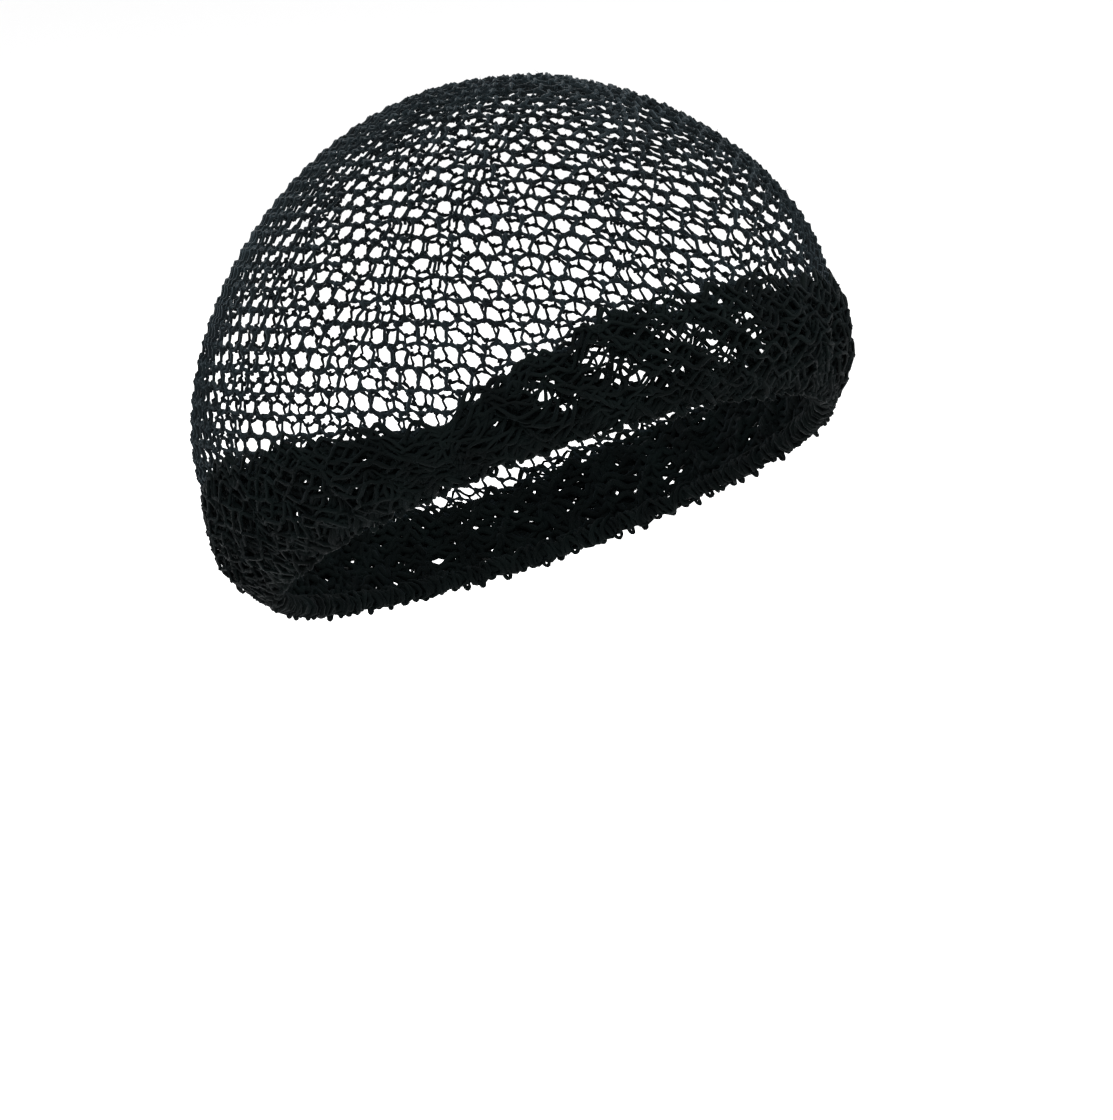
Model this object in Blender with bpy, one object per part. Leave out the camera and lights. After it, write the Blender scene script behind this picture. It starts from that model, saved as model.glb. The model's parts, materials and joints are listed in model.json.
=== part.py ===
"""A netted cap: an openwork crown, a gathered border below it and an elastic edge round the mouth.

Metres, +Z up, the wearer's forehead towards -Y. The cap keeps the form that it has on a head. Its
origin is the middle of the mouth, and the whole cap leans back by the tilt of the mouth's plane.
"""

import math

import bmesh
import bpy

# Driving sizes of the form
HALF_WIDTH = 0.098
HALF_LENGTH = 0.124
WIDEST_HEIGHT = 0.046
CROWN_RISE = 0.093
MOUTH_DRAW_IN = 0.0125
MOUTH_TILT = math.radians(28)

# How full the curves are: 2 gives an ellipse, a lower power a slacker crown
CROWN_POWER = 1.75
DRAW_IN_POWER = 3.0

# The net of the crown
NET_WALL = 0.002
STRAND_WIDTH = 0.003
NET_CENTRE_FORWARD = 0.052
NET_ROUNDS = 7
SIDES_OF_NET = 6
FULL_ROUND = 5
CORNER_CUT = 0.27

# The gathered border
BORDER_HEIGHT = 0.033
BORDER_WALL = 0.003
BORDER_STAND_OUT = 0.0022
GATHERS = 34
GATHER_DEPTH = 0.0012
COLUMNS_PER_GATHER = 4

# The elastic edge
EDGE_THICKNESS = 0.0046
PICOT_SWELL = 0.0005
PICOTS = 64
EDGE_SIDES = 6

# Air between two pieces that touch
PIECE_GAP = 0.0003

# How far the border stands out and how strong its gathers are, up its height
BORDER_SECTIONS = (
    {"height": 0.00, "stand_out": 0.05, "gather": 0.55},
    {"height": 0.22, "stand_out": 0.60, "gather": 1.00},
    {"height": 0.50, "stand_out": 1.00, "gather": 0.90},
    {"height": 0.78, "stand_out": 0.90, "gather": 0.60},
    {"height": 1.00, "stand_out": 0.30, "gather": 0.25},
)

# The deep folds of the border: place and half width in degrees from the forehead towards the
# wearer's left, and depth as a share of the border's wall
BORDER_FOLDS = (
    {"turn": 14, "half_width": 7, "depth": 0.50},
    {"turn": 41, "half_width": 6, "depth": 0.35},
    {"turn": 73, "half_width": 8, "depth": 0.60},
    {"turn": 112, "half_width": 7, "depth": 0.45},
    {"turn": 149, "half_width": 9, "depth": 0.60},
    {"turn": 186, "half_width": 8, "depth": 0.50},
    {"turn": 221, "half_width": 8, "depth": 0.60},
    {"turn": 262, "half_width": 7, "depth": 0.40},
    {"turn": 297, "half_width": 8, "depth": 0.60},
    {"turn": 334, "half_width": 6, "depth": 0.40},
)

OUTLINE_STEPS = 60


def width_at(height):
    """The cap's width at a height above the mouth's plane, as a share of its widest."""
    if height > WIDEST_HEIGHT:
        rise = min((height - WIDEST_HEIGHT) / CROWN_RISE, 1.0)
        return (1 - rise**CROWN_POWER) ** (1 / CROWN_POWER)
    drop = 1 - height / WIDEST_HEIGHT
    return 1 - MOUTH_DRAW_IN / HALF_WIDTH * drop**DRAW_IN_POWER


def crown_outline(lowest):
    """Rows of length from the top, height and width share, down to a height on the cap."""
    mean_radius = (HALF_WIDTH + HALF_LENGTH) / 2
    heights = []
    for step in range(OUTLINE_STEPS + 1):
        # Steps bunch up near the top, where the crown turns level
        level = math.cos(math.pi / 2 * step / OUTLINE_STEPS)
        heights.append(lowest + (WIDEST_HEIGHT + CROWN_RISE - lowest) * level)
    rows = []
    length = 0.0
    for height in heights:
        width = width_at(height)
        if rows:
            length += math.hypot(height - rows[-1][1], mean_radius * (width - rows[-1][2]))
        rows.append((length, height, width))
    return rows


def on_outline(rows, length):
    """Height and width share at a length from the top."""
    length = min(max(length, 0.0), rows[-1][0])
    for before, after in zip(rows, rows[1:]):
        if length <= after[0]:
            part = (length - before[0]) / (after[0] - before[0])
            return tuple(before[i] + part * (after[i] - before[i]) for i in (1, 2))
    return rows[-1][1:]


def on_form(height, width, turn, stand_out=0.0):
    """A point of the cap, its turn counted from the forehead towards the wearer's left."""
    along_x, along_y = math.sin(turn), -math.cos(turn)
    out_x, out_y = along_x / HALF_WIDTH, along_y / HALF_LENGTH
    size = math.hypot(out_x, out_y)
    return (
        HALF_WIDTH * width * along_x + stand_out * out_x / size,
        HALF_LENGTH * width * along_y + stand_out * out_y / size,
        height,
    )


def cells_in_round(number):
    """The net starts with one opening and grows by one on each of its sides, then runs straight."""
    return max(1, SIDES_OF_NET * min(number, FULL_ROUND))


def cell_centres():
    """The middle of every opening, by round, as points of a flat disc of radius 1."""
    rounds = []
    for number in range(NET_ROUNDS):
        count = cells_in_round(number)
        # Once the net runs straight, every second round is shifted by half an opening
        shift = 0.5 if number > FULL_ROUND and (number - FULL_ROUND) % 2 else 0.0
        radius = number / (NET_ROUNDS - 0.5)
        turns = [math.tau * (place + shift) / count for place in range(count)]
        rounds.append([(turn, radius) for turn in turns])
    return rounds


def turn_of(cells, place):
    """The turn of a cell of a round, counted on past a full turn."""
    return cells[place % len(cells)][0] + math.tau * (place // len(cells))


def meeting_triangles(inner, outer):
    """Three openings meet at each knot: (round step, place) triples between two rounds."""
    triangles = []
    i = j = 0
    inner_end = len(inner) if len(inner) > 1 else 0
    while i < inner_end or j < len(outer):
        # The next knot joins the two cells that lie nearer to each other
        reach_out = turn_of(outer, j + 1) - turn_of(inner, i)
        reach_in = turn_of(inner, i + 1) - turn_of(outer, j)
        corners = [(0, i % len(inner)), (1, j % len(outer))]
        if i >= inner_end or (j < len(outer) and reach_out < reach_in):
            j += 1
            corners.append((1, j % len(outer)))
        else:
            i += 1
            corners.append((0, i % len(inner)))
        triangles.append(corners)
    return triangles


def disc_point(turn, radius):
    return radius * math.sin(turn), radius * math.cos(turn)


def net_cells():
    """For each opening, its middle and its knots in order, in the flat disc."""
    rounds = cell_centres()
    knots = {(ring, place): [] for ring, cells in enumerate(rounds) for place in range(len(cells))}
    for number, (inner, outer) in enumerate(zip(rounds, rounds[1:])):
        for triangle in meeting_triangles(inner, outer):
            cells = [(number + step, place) for step, place in triangle]
            middles = [disc_point(*rounds[ring][place]) for ring, place in cells]
            knot = tuple(sum(values) / 3 for values in zip(*middles))
            for cell in cells:
                knots[cell].append(knot)
    last = NET_ROUNDS - 1
    count = len(rounds[last])
    for place, (turn, _) in enumerate(rounds[last]):
        step = math.tau / count
        # The last round is closed by the crown's lower edge, with a point below each knot
        for part in (-0.5, 0.0, 0.5):
            knots[(last, place)].append(disc_point(turn + part * step, 1.0))
    cells = []
    for (number, place), corners in knots.items():
        middle = disc_point(*rounds[number][place])
        corners.sort(key=lambda knot: math.atan2(knot[0] - middle[0], knot[1] - middle[1]))
        cells.append((middle, corners))
    return cells


def crown_place(rows, flat):
    """Lays a point of the flat disc on the crown, with the net's middle moved to the front."""
    radius = math.hypot(*flat)
    forward = NET_CENTRE_FORWARD / rows[-1][0]
    across, ahead = flat[0], flat[1] + forward * (1 - min(radius, 1.0))
    length = rows[-1][0] * math.hypot(across, ahead)
    height, width = on_outline(rows, length)
    return on_form(height, width, math.atan2(across, ahead))


def step_inward(rows, point, inward, width):
    """A point of the flat disc moved inward until it lies a width away on the crown."""
    small = 1e-3
    moved = (point[0] + small * inward[0], point[1] + small * inward[1])
    step = small * width / math.dist(crown_place(rows, point), crown_place(rows, moved))
    return point[0] + step * inward[0], point[1] + step * inward[1]


def opening_corners(rows, start, end, middle):
    """The two corners of an opening beside one of its sides, a strand's half width inside it."""
    side = (end[0] - start[0], end[1] - start[1])
    length = math.hypot(*side)
    inward = (-side[1] / length, side[0] / length)
    if (middle[0] - start[0]) * inward[0] + (middle[1] - start[1]) * inward[1] < 0:
        inward = (-inward[0], -inward[1])
    on_lower_edge = min(math.hypot(*start), math.hypot(*end)) > 1 - 1e-6
    width = STRAND_WIDTH if on_lower_edge else STRAND_WIDTH / 2
    corners = []
    for cut in (CORNER_CUT, 1 - CORNER_CUT):
        point = (start[0] + side[0] * cut, start[1] + side[1] * cut)
        corners.append(step_inward(rows, point, inward, width))
    return corners


def add_opening(net, shared, rows, middle, knots):
    """The strands round one opening, which has a short cut across each corner."""
    outer, inner = [], []
    for index, knot in enumerate(knots):
        key = (round(knot[0], 6), round(knot[1], 6))
        if key not in shared:
            shared[key] = net.verts.new(crown_place(rows, knot))
        outer.append(shared[key])
        following = knots[(index + 1) % len(knots)]
        corners = opening_corners(rows, knot, following, middle)
        inner.append([net.verts.new(crown_place(rows, corner)) for corner in corners])
    for index, (first, second) in enumerate(inner):
        beside = (index + 1) % len(inner)
        net.faces.new((outer[index], outer[beside], second, first))
        net.faces.new((outer[beside], inner[beside][0], second))


def new_piece(name, mesh_source, material, parent):
    mesh = bpy.data.meshes.new(name)
    bmesh.ops.recalc_face_normals(mesh_source, faces=mesh_source.faces)
    mesh_source.to_mesh(mesh)
    mesh_source.free()
    mesh.materials.append(material)
    piece = bpy.data.objects.new(name, mesh)
    bpy.context.scene.collection.objects.link(piece)
    piece.parent = parent
    return piece


def add_crown_net(material, parent):
    """The netting over the head: a wall cut through by its openings."""
    rows = crown_outline(BORDER_HEIGHT + PIECE_GAP)
    net = bmesh.new()
    shared = {}
    for middle, knots in net_cells():
        add_opening(net, shared, rows, middle, knots)
    crown = new_piece("crown_net", net, material, parent)
    highest = max(crown.data.polygons, key=lambda face: face.center.z)
    if highest.normal.z < 0:
        crown.data.flip_normals()
    wall = crown.modifiers.new("wall", "SOLIDIFY")
    wall.thickness = NET_WALL
    wall.offset = -1.0
    wall.use_even_offset = True
    return crown


def fold_depth(turn):
    """How far a deep fold pulls the border in at a turn."""
    depth = 0.0
    for fold in BORDER_FOLDS:
        away = (math.degrees(turn) - fold["turn"] + 180) % 360 - 180
        if abs(away) < fold["half_width"]:
            depth += fold["depth"] * (1 + math.cos(math.pi * away / fold["half_width"])) / 2
    return depth * BORDER_WALL


def ring_of_sections(columns, section):
    """A closed ring through the same number of points at each turn, as a new mesh."""
    ring = bmesh.new()
    loops = []
    for column in range(columns):
        points = section(column, math.tau * column / columns)
        loops.append([ring.verts.new(point) for point in points])
    for loop, following in zip(loops, loops[1:] + loops[:1]):
        for index in range(len(loop)):
            beside = (index + 1) % len(loop)
            ring.faces.new((loop[index], loop[beside], following[beside], following[index]))
    return ring


def border_section(_, turn):
    """The border's wall at one turn, up its outside and down its inside."""
    foot = EDGE_THICKNESS + 2 * PICOT_SWELL + PIECE_GAP
    wave = math.cos(GATHERS * turn)
    outside, inside = [], []
    for row in BORDER_SECTIONS:
        height = foot + (BORDER_HEIGHT - foot) * row["height"]
        stand_out = BORDER_STAND_OUT * row["stand_out"]
        stand_out += (GATHER_DEPTH * wave - fold_depth(turn)) * row["gather"]
        width = width_at(height)
        outside.append(on_form(height, width, turn, stand_out))
        inside.append(on_form(height, width, turn, stand_out - BORDER_WALL))
    return outside + inside[::-1]


def add_gathered_border(material, parent):
    """The bunched netting round the head, in gathers and deep folds."""
    ring = ring_of_sections(GATHERS * COLUMNS_PER_GATHER, border_section)
    return new_piece("gathered_border", ring, material, parent)


def edge_section(column, turn):
    """The elastic edge at one turn, thicker at each picot."""
    radius = EDGE_THICKNESS / 2 + (PICOT_SWELL if column % 2 == 0 else 0.0)
    middle = EDGE_THICKNESS / 2 + PICOT_SWELL
    points = []
    for side in range(EDGE_SIDES):
        angle = math.tau * (side + 0.5) / EDGE_SIDES
        height = middle + radius * math.sin(angle)
        stand_out = radius * math.cos(angle) - EDGE_THICKNESS / 2
        points.append(on_form(height, width_at(middle), turn, stand_out))
    return points


def add_elastic_edge(material, parent):
    """The elastic cord that draws the mouth in, worked over with small picots."""
    ring = ring_of_sections(2 * PICOTS, edge_section)
    return new_piece("elastic_edge", ring, material, parent)


def yarn_material(name, colour, roughness):
    material = bpy.data.materials.new(name)
    material.use_nodes = True
    shader = material.node_tree.nodes["Principled BSDF"]
    shader.inputs["Base Color"].default_value = (*colour, 1.0)
    shader.inputs["Roughness"].default_value = roughness
    shader.inputs["Metallic"].default_value = 0.0
    material.diffuse_color = (*colour, 1.0)
    return material


def main():
    for leftover in list(bpy.data.objects):
        bpy.data.objects.remove(leftover)
    seat = bpy.data.objects.new("head_seat", None)
    seat.rotation_euler.x = -MOUTH_TILT
    bpy.context.scene.collection.objects.link(seat)
    net_yarn = yarn_material("net_yarn", (0.010, 0.014, 0.018), 0.75)
    gathered_yarn = yarn_material("gathered_yarn", (0.007, 0.010, 0.014), 0.85)
    elastic_yarn = yarn_material("elastic_yarn", (0.008, 0.011, 0.014), 0.80)
    pieces = [
        add_crown_net(net_yarn, seat),
        add_gathered_border(gathered_yarn, seat),
        add_elastic_edge(elastic_yarn, seat),
    ]
    for piece in pieces:
        piece.data.shade_smooth()
        piece.data.set_sharp_from_angle(angle=math.radians(40))


main()
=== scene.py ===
# %% [markdown]
# # A netted cap in soft black yarn
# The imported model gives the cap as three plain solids: a crown cut through by large openings, a
# ruffled border and a ring. The real cap is all yarn. So the cells below plan where the yarn runs,
# lay curves there, round them off with a bevel and turn them into meshes, and the plain solids that
# these stand for are hidden. Everything is in metres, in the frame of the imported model.

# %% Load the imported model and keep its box
import json
import math

import bpy
import numpy as np
from mathutils import Euler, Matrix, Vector


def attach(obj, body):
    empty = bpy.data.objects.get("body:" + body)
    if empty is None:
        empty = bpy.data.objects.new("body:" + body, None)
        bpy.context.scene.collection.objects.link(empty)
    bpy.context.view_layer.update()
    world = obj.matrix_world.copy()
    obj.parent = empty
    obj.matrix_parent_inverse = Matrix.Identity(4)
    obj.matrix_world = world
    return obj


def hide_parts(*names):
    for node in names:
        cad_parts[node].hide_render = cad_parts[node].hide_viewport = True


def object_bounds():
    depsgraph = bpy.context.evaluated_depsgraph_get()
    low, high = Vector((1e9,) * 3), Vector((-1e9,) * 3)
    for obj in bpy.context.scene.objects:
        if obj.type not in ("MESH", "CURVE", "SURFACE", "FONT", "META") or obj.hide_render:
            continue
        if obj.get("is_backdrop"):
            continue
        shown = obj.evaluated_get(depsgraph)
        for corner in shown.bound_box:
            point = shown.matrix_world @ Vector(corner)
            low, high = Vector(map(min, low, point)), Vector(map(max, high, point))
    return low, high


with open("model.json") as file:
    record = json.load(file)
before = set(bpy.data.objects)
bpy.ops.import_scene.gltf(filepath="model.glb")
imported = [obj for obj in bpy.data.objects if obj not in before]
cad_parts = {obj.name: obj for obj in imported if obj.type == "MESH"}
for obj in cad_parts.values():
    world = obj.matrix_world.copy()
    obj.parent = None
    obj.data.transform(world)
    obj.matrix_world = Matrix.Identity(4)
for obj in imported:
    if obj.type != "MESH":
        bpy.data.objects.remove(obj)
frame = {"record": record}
cad_low, cad_high = (tuple(corner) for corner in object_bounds())
print("The packed cap reaches from", np.round(cad_low, 3), "to", np.round(cad_high, 3))

# %% [markdown]
# ## The form that the yarn lies on
# A worn cap is an egg, cut off by the plane of its mouth. It could be sculpted, but the yarn has to
# be told where to go, so the form is a formula, the same one that the solids were made with: a
# width for every height above the mouth's plane, at every turn from the front. The mouth's plane
# leans back, and how far is read from the record's mount.

# %% The form's sizes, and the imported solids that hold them
HALF_WIDTH = 0.098
HALF_LENGTH = 0.124
WIDEST_HEIGHT = 0.046
CROWN_RISE = 0.093
MOUTH_DRAW_IN = 0.0125
CROWN_POWER = 1.75
DRAW_IN_POWER = 3.0
CROWN_TOP = WIDEST_HEIGHT + CROWN_RISE

seat_axis = frame["record"]["mounts"][0]["axis"]
MOUTH_TILT = math.atan2(-seat_axis[1], -seat_axis[2])
print("The mouth leans back by", round(math.degrees(MOUTH_TILT), 1), "degrees")

# %% [markdown]
# ## A place on the form
# Three numbers say where a bit of yarn is: its height above the mouth's plane, its turn from the
# front, and how far it stands out of the form. The way straight out is where the formula grows
# fastest, so it needs no mesh either. Points are worked out by the thousand, as NumPy arrays.

# %% Height, turn and stand-out to a point in space
WIDEST_LEVEL_POINTS = 360


def width_at(height):
    """The width at heights above the mouth's plane, as a share of the widest."""
    rise = np.clip((height - WIDEST_HEIGHT) / CROWN_RISE, 0.0, 1.0)
    upper = (1.0 - rise**CROWN_POWER) ** (1.0 / CROWN_POWER)
    drop = np.clip(1.0 - height / WIDEST_HEIGHT, 0.0, None)
    lower = 1.0 - MOUTH_DRAW_IN / HALF_WIDTH * drop**DRAW_IN_POWER
    return np.where(height > WIDEST_HEIGHT, upper, lower)


def lean_back(points):
    """Turns points of the mouth's own frame to how the cap is worn."""
    cosine, sine = math.cos(MOUTH_TILT), math.sin(MOUTH_TILT)
    x, y, z = points[..., 0], points[..., 1], points[..., 2]
    return np.stack([x, y * cosine + z * sine, z * cosine - y * sine], axis=-1)


def outward(height, turn):
    """The direction straight out of the form."""
    small = 1e-5
    low, high = np.clip(height - small, 0, CROWN_TOP), np.clip(height + small, 0, CROWN_TOP)
    falling = (width_at(high) ** 2 - width_at(low) ** 2) / np.maximum(high - low, 1e-9)
    width = width_at(height)
    ways = [width * np.sin(turn) / HALF_WIDTH, -width * np.cos(turn) / HALF_LENGTH, -falling / 2]
    way = np.stack(ways, axis=-1)
    return way / np.maximum(np.linalg.norm(way, axis=-1, keepdims=True), 1e-9)


def on_form(height, turn, stand_out):
    """Points of the worn cap and the outward directions there."""
    width = width_at(height)
    flat = [HALF_WIDTH * width * np.sin(turn), -HALF_LENGTH * width * np.cos(turn), height]
    way = outward(height, turn)
    points = np.stack(flat, axis=-1) + way * np.asarray(stand_out)[..., None]
    return lean_back(points), lean_back(way)


def girth_of(points):
    """The length round a closed line of points."""
    return np.linalg.norm(points - np.roll(points, 1, axis=0), axis=1).sum()


all_round = np.linspace(0, math.tau, WIDEST_LEVEL_POINTS, endpoint=False)
widest_level, _ = on_form(np.full(len(all_round), WIDEST_HEIGHT), all_round, np.zeros(len(all_round)))
print("The form is", round(girth_of(widest_level) * 1000), "mm round at its widest level")

# %% [markdown]
# ## How far is it along the crown?
# A net of equal openings needs real lengths: so many millimetres from its middle, in every
# direction. The middle of this net lies in front of the crown's top and to the cap's left: only
# from there do its rounds run across the photograph as they should. So the length is not the same
# in every direction, and a table of lengths, measured once along many lines from the middle to the
# mouth, answers it for every point.

# %% Lengths along the crown from the middle of the net
NET_CENTRE_FORWARD = 0.041
NET_CENTRE_ASIDE = 0.042
OUTLINE_POINTS = 400
TURN_STEPS = 360
SHARE_STEPS = 240

outline_heights = CROWN_TOP * np.cos(np.linspace(0.0, math.pi / 2, OUTLINE_POINTS))
outline_widths = width_at(outline_heights) * (HALF_WIDTH + HALF_LENGTH) / 2
outline_steps = np.hypot(np.diff(outline_heights), np.diff(outline_widths))
outline_lengths = np.concatenate([[0.0], np.cumsum(outline_steps)])


def on_disc(turn, share):
    """Height and turn on the form, for a share of the way from the net's middle to the mouth."""
    forward = NET_CENTRE_FORWARD / outline_lengths[-1]
    aside = NET_CENTRE_ASIDE / outline_lengths[-1]
    across = share * np.sin(turn) + aside * (1.0 - share)
    ahead = share * np.cos(turn) + forward * (1.0 - share)
    length = np.hypot(across, ahead) * outline_lengths[-1]
    return np.interp(length, outline_lengths, outline_heights), np.arctan2(across, ahead)


table_turns = np.linspace(0.0, math.tau, TURN_STEPS + 1)
table_shares = np.linspace(0.0, 1.0, SHARE_STEPS + 1)
table_heights, table_angles = on_disc(table_turns[:, None], table_shares[None, :])
table_points, _ = on_form(table_heights, table_angles, np.zeros_like(table_heights))
steps_along = np.linalg.norm(np.diff(table_points, axis=1), axis=-1)
table_lengths = np.pad(np.cumsum(steps_along, axis=1), ((0, 0), (1, 0)))
print("From the net's middle to the mouth:", round(float(table_lengths[0, -1]), 3), "m in front,",
      round(float(table_lengths[TURN_STEPS // 2, -1]), 3), "m at the back")


def between_turns(values, turn):
    """Reads a value per turn of the table between its turns."""
    place = (turn % math.tau) / math.tau * TURN_STEPS
    index = np.minimum(place.astype(int), TURN_STEPS - 1)
    part = place - index
    if values.ndim == 2:
        part = part[:, None]
    return values[index] * (1 - part) + values[index + 1] * part


def on_crown(turn, length, stand_out):
    """Points of the crown at lengths from the net's middle, and the outward directions there."""
    rows = between_turns(table_lengths, turn)
    length = np.clip(length, 0.0, rows[:, -1] - 1e-6)
    index = (rows <= length[:, None]).sum(axis=1) - 1
    picks = np.arange(len(rows))
    step = rows[picks, index + 1] - rows[picks, index]
    share = (index + (length - rows[picks, index]) / step) / SHARE_STEPS
    height, angle = on_disc(turn, share)
    return on_form(height, angle, stand_out)


# %% [markdown]
# ## How high does the border reach?
# The bunched band is not equally high all round. On the real cap it is low at the right of the
# front, higher in the middle of the front and highest at the sides. A few heights in millimetres by
# turn in degrees, read one by one, are joined by straight lines, and the net above it is told where
# it runs into the band. Turns are counted from the front, towards the cap's left.

# %% The border's upper edge
BAND_TURNS = (-180, -150, -120, -103, -93, -87, -72, -62, -54, -47, -41, -32, -18, 0, 13, 25,
              45, 70, 100, 135, 160, 180)
BAND_TOPS = (36, 33, 36, 42, 40, 36, 30, 25, 17, 15, 20, 25, 30, 29, 28, 31,
             36, 38, 33, 36, 32, 36)


def in_degrees(turn):
    """Degrees from the front: above 0 on the cap's left, below 0 on its right."""
    return (np.degrees(turn) + 180) % 360 - 180


def band_top(turn):
    """The height in metres of the border's upper edge."""
    return np.interp(in_degrees(turn), BAND_TURNS, BAND_TOPS) / 1000


above_border = table_heights > band_top(table_angles)
border_lengths = np.where(above_border, table_lengths, 0.0).max(axis=1)
print("The net meets the border", np.round(border_lengths[::90] * 1000), "mm from its middle")

# %% [markdown]
# ## How the net grows
# Such a net is worked in rounds from the middle out. In every round a wavy cord runs from opening
# to opening, and a short loop ties each low point of a round to a high point of the next. While the
# cap grows, two loops are tied to one low point on each of eight lines. Two of these are seen in
# the photograph, as lines of narrow openings, and their places gave the number and the start of all
# eight. Between the lines the loops even out, and beside the lines they are drawn together.

# %% Adding loops to a round, and spacing them
GROWING_LINES = 8
LINE_START = math.radians(-9.5)
LOOP_SPREAD = 0.24
EVENING_OUT = 0.45
NARROWING = 0.38
NARROW_WIDTH = 0.9


def turn_between(turns, others):
    """The turn from other places to these by the shorter way round."""
    return (turns - others + math.pi) % math.tau - math.pi


def growing_lines():
    """The turns of the lines on which the net grows."""
    return [LINE_START + math.tau * line / GROWING_LINES for line in range(GROWING_LINES)]


def middles(turns):
    """The low points of a round: halfway between its high points."""
    following = np.append(turns[1:], turns[0] + math.tau)
    return (turns + following) / 2


def grow(turns):
    """Ties two loops to the low point nearest to each growing line."""
    turns = turns % math.tau
    step = math.tau / len(turns)
    grown = list(turns)
    for line in growing_lines():
        nearest = turns[np.argmin(np.abs(turn_between(turns, line)))]
        grown.remove(nearest)
        grown += [nearest - LOOP_SPREAD * step, nearest + LOOP_SPREAD * step]
    return np.sort(np.array(grown))


def even_out(turns):
    """Moves the loops some of the way to equal steps."""
    steps = np.arange(len(turns)) * math.tau / len(turns)
    start = np.mean(turns - steps)
    return turns + EVENING_OUT * (start + steps - turns)


def narrow_at_lines(turns):
    """Draws the loops beside each growing line together."""
    step = math.tau / len(turns)
    for line in growing_lines():
        away = turn_between(turns, line)
        turns = turns - NARROWING * away * np.exp(-((away / (NARROW_WIDTH * step)) ** 2))
    return turns


print("The net grows on lines at", np.round(np.degrees(growing_lines()), 1), "degrees")

# %% [markdown]
# ## The plan of the net
# The plan holds, for each round, the turns of its high and low points, and the turns of the low
# points that the next round's loops are tied to, which come twice where the net grows. It starts
# with one opening to a line, grows in the rounds that are listed, as the form widens, and then runs
# on with equal rounds down into the border. Each round leans a little against the one before.

# %% High points, low points and ties, round by round
ROUND_STEP = 0.0064
LAST_ROUND = 42
GROWING_ROUNDS = (3, 4, 6, 7, 9, 11, 12, 14, 17, 20, 24)
LAST_EVEN_ROUND = 6
LEAN = -0.15

rounds = []
ties = []
tops = np.arange(GROWING_LINES) * math.tau / GROWING_LINES
for number in range(1, LAST_ROUND + 1):
    lows = middles(tops)
    rounds.append((tops, lows))
    tied = grow(lows) if number + 1 in GROWING_ROUNDS else np.sort(lows % math.tau)
    ties.append(tied)
    tops = even_out(tied) + LEAN * math.tau / len(tied)
    if number > LAST_EVEN_ROUND:
        tops = narrow_at_lines(tops)
print(sum(len(t) for t, _ in rounds), "openings are planned in", len(rounds), "rounds, with",
      len(rounds[-1][0]), "in the widest")

# %% [markdown]
# ## Into the border
# Where the net reaches the border it doesn't stop: it is pushed together, round on round, and runs
# on under the gathers, where the border hides its end. A curve that flattens out does this: lengths
# stay true on the crown, and past the border's upper edge each further round moves less than the
# last. A slow wandering keeps the rounds from being as even as a machine's.

# %% Lengths on the slack net to lengths on the worn cap
SQUEEZE_START = 0.005
SQUEEZE_REACH = 0.015
KEEP_PAST_BORDER = 0.017
UNEVEN_TURN = 0.006
UNEVEN_LENGTH = 0.0011
UNEVEN_SLACK = 0.0007
MEASURED_ROUNDS = (5, 10, 15, 20, 25)
MEASURED_POINTS = 400


def squeeze(turn, length):
    """Lengths of the net as worn."""
    start = between_turns(border_lengths, turn) - SQUEEZE_START
    past = np.maximum(length - start, 0.0)
    return np.where(past > 0, start + SQUEEZE_REACH * (1 - np.exp(-past / SQUEEZE_REACH)), length)


def is_kept(turn, length):
    """Whether places of the net lie above the border, or not too far past its upper edge."""
    return length - between_turns(border_lengths, turn) < KEEP_PAST_BORDER


def waver(turn, length, scale, seed):
    """A slow, smooth wandering between about -1 and 1, the same each run."""
    phases = np.random.default_rng(seed).uniform(0, math.tau, 3)
    value = np.sin(turn * round(0.35 / scale) + phases[0])
    value = value + np.sin(length / scale * 1.7 + 2 * turn + phases[1])
    value = value + np.sin(length / scale * 0.9 - 3 * turn + phases[2])
    return value / 3


def worn(turn, length, stand_out):
    """Points of the worn net, with the small unevenness of handwork and stretch."""
    turn = turn + UNEVEN_TURN * waver(turn, length, 0.03, 1)
    length = length + UNEVEN_LENGTH * waver(turn, length, 0.04, 2)
    slack = UNEVEN_SLACK * waver(turn, length, 0.05, 3)
    return on_crown(turn, squeeze(turn, length), stand_out + slack)


measured_turns = np.linspace(0, math.tau, MEASURED_POINTS, endpoint=False)
for number in MEASURED_ROUNDS:
    lengths = np.full(MEASURED_POINTS, number * ROUND_STEP)
    places, _ = worn(measured_turns, lengths, np.zeros(MEASURED_POINTS))
    girth = girth_of(places)
    openings = len(rounds[number - 1][0])
    print("Round", number, "is", round(girth * 1000), "mm round, and its", openings,
          "openings are", round(girth * 1000 / openings, 1), "mm wide")

# %% [markdown]
# ## Cords from curves
# Each strand is a curve with a bevel, as one would draw it by hand. One curve object takes many
# strands, so a whole part of the net is converted to a mesh at once. The converted mesh is shaded
# smooth and its object sits at the origin. Each point of a curve also has a radius of its own, so
# the yarn can swell where it is knotted and grow thin where it is stretched. A little chance in
# every radius, with the same seed each run, makes it spun yarn and not wire.

# %% Strands to a mesh
THINNEST_SPUN = 0.80
THICKEST_SPUN = 1.20
LEAST_SIDES = 4


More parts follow.
